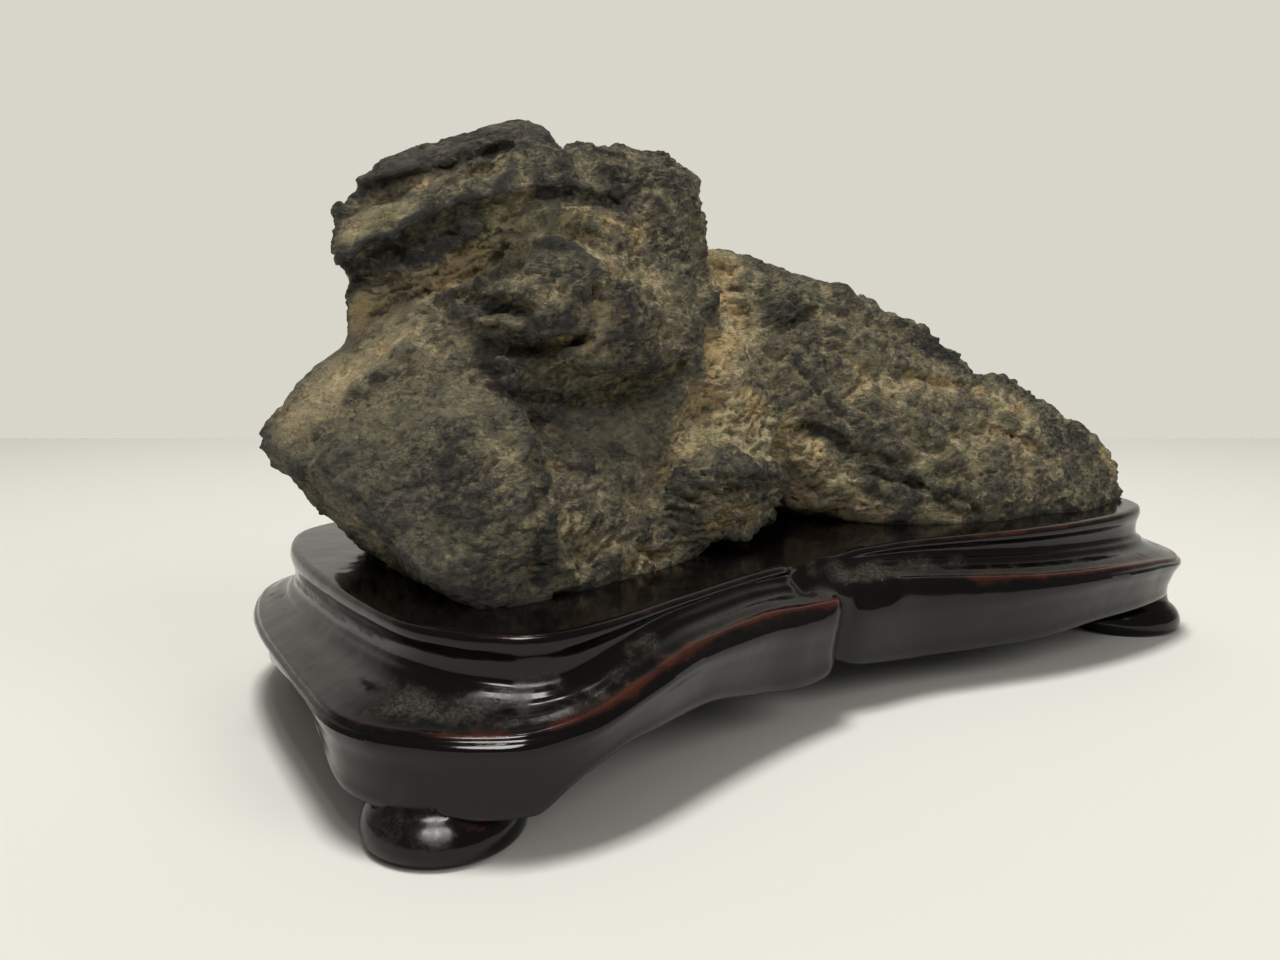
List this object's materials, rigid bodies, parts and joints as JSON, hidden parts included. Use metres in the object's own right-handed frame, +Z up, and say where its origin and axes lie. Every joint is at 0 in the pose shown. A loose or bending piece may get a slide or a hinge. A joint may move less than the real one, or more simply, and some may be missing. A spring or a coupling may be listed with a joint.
{
  "type": "scholars rock on a carved stand",
  "caption": "Craggy dark viewing stone with a high head and a long slope, seated in a low black-lacquered wooden stand with a stepped, waisted edge and scrolled feet.",
  "frame": {"origin": "on the floor, below the middle of the stand's bounding box", "axes": "+X along the stand towards the low end of the stone, -Y the front, +Z up"},
  "size_m": [0.1618, 0.0862, 0.088],
  "materials": {
    "weathered_stone": "fine-grained dark grey-brown stone, blue-black and faintly polished on its high points, with tan and ochre clay left in its hollows and cracks",
    "black_lacquer": "hardwood under glossy near-black lacquer, red-brown where edges are rubbed, dusty on the ledge"
  },
  "bodies": {
    "root": {"stone": "weathered_stone", "stand": "black_lacquer"}
  },
  "joints": []
}
